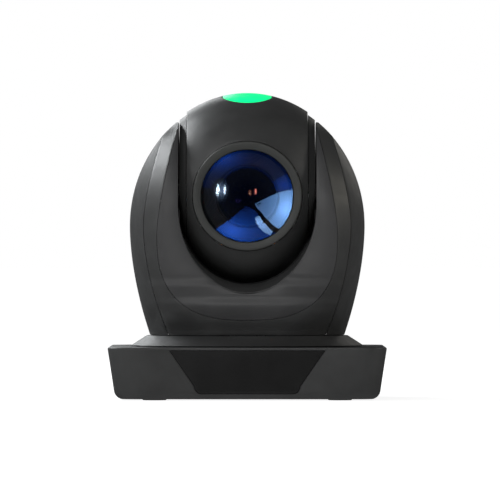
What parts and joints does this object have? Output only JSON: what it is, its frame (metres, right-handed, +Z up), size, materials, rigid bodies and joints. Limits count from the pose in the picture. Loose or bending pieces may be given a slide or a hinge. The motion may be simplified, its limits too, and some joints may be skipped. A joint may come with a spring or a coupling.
{
  "type": "pan-tilt-zoom camera",
  "caption": "Desktop conference camera whose fork pans on a flared base while the lens head tilts between its arms; motorised zoom and focus.",
  "frame": {"origin": "on the ground under the pan axis, at the middle of the base's footprint", "axes": "+Z up along the pan axis; the lens looks along -Y at rest; +X to the right seen from the front"},
  "size_m": [0.15, 0.15, 0.1665],
  "materials": {
    "charcoal_shell": "fine satin texture, moulded",
    "grey_trim": "smooth satin, a shade lighter than the shells",
    "smoked_window": "smoked, polished, passes infrared",
    "black_plastic": "moulded black",
    "rubber": "matte",
    "steel": "zinc plated and turned",
    "brass": "turned",
    "nylon": "natural nylon",
    "circuit_board": "green solder mask",
    "socket_metal": "nickel plated",
    "socket_black": "moulded black",
    "lens_glass": "coated optical glass with a deep blue bloom",
    "tally_green": "translucent light window"
  },
  "bodies": {
    "base": {"base_shell": "charcoal_shell", "front_window": "smoked_window", "bottom_plate": "black_plastic", "tripod_insert": "brass", "foot_1": "rubber", "foot_2": "rubber", "foot_3": "rubber", "foot_4": "rubber", "ring": "charcoal_shell", "pan_post": "steel", "pan_nut": "steel", "pan_fixed_pulley": "nylon", "rear_panel": "black_plastic", "main_board": "circuit_board", "receiver_board": "circuit_board", "power_jack": "socket_black", "audio_jack": "socket_black", "serial_socket": "socket_black", "network_socket": "socket_metal", "usb_socket": "socket_metal", "video_socket": "socket_metal", "coax_socket": "socket_metal", "switch_body": "black_plastic"},
    "switch_lever_1": {"switch_lever_1": "nylon"},
    "switch_lever_2": {"switch_lever_2": "nylon"},
    "fork": {"fork_frame": "steel", "saddle": "charcoal_shell", "u_panel": "grey_trim", "fork_front_shell": "charcoal_shell", "fork_rear_shell": "charcoal_shell", "right_side_cover": "charcoal_shell", "left_side_cover": "charcoal_shell", "pan_bearing": "steel", "pan_motor": "steel", "pan_belt": "rubber", "right_tilt_bearing": "steel", "left_tilt_bearing": "steel", "tilt_motor": "steel", "tilt_belt": "rubber"},
    "pan_rotor": {"pan_motor_pulley": "brass"},
    "tilt_rotor": {"tilt_motor_pulley": "brass"},
    "head": {"head_front_shell": "charcoal_shell", "head_rear_shell": "charcoal_shell", "right_head_cover": "charcoal_shell", "left_head_cover": "charcoal_shell", "tally_window": "tally_green", "tally_board": "circuit_board", "lens_bezel": "grey_trim", "front_glass": "lens_glass", "lens_block": "black_plastic", "right_guide_rod": "steel", "left_guide_rod": "steel", "sensor_board": "circuit_board", "head_frame": "steel", "right_shaft": "steel", "left_shaft": "steel", "tilt_pulley": "nylon"},
    "zoom_carriage": {"zoom_group": "lens_glass"},
    "focus_carriage": {"focus_group": "lens_glass"}
  },
  "joints": [
    {"name": "pan", "type": "hinge", "parent": "base", "child": "fork", "pos_m": [0, 0, 0.0345], "axis": [0, 0, 1], "range_deg": [-170, 170]},
    {"name": "tilt", "type": "hinge", "parent": "fork", "child": "head", "pos_m": [0, 0, 0.11], "axis": [-1, 0, 0], "range_deg": [-30, 90]},
    {"name": "pan_motor_turn", "type": "hinge", "parent": "fork", "child": "pan_rotor", "pos_m": [0, 0.0365, 0.031], "axis": [0, 0, 1], "range_deg": [-680, 680]},
    {"name": "tilt_motor_turn", "type": "hinge", "parent": "fork", "child": "tilt_rotor", "pos_m": [-0.045, 0, 0.07], "axis": [-1, 0, 0], "range_deg": [-90, 270]},
    {"name": "zoom_slide", "type": "slide", "parent": "head", "child": "zoom_carriage", "axis": [0, 1, 0], "range_m": [0, 0.012]},
    {"name": "focus_slide", "type": "slide", "parent": "head", "child": "focus_carriage", "axis": [0, 1, 0], "range_m": [-0.003, 0.003]},
    {"name": "switch_1", "type": "slide", "parent": "base", "child": "switch_lever_1", "axis": [0, 0, 1], "range_m": [0, 0.002]},
    {"name": "switch_2", "type": "slide", "parent": "base", "child": "switch_lever_2", "axis": [0, 0, 1], "range_m": [0, 0.002]}
  ],
  "couplings": [
    {"joint": "pan_motor_turn", "follows": "pan", "ratio": -4},
    {"joint": "tilt_motor_turn", "follows": "tilt", "ratio": 3}
  ]
}
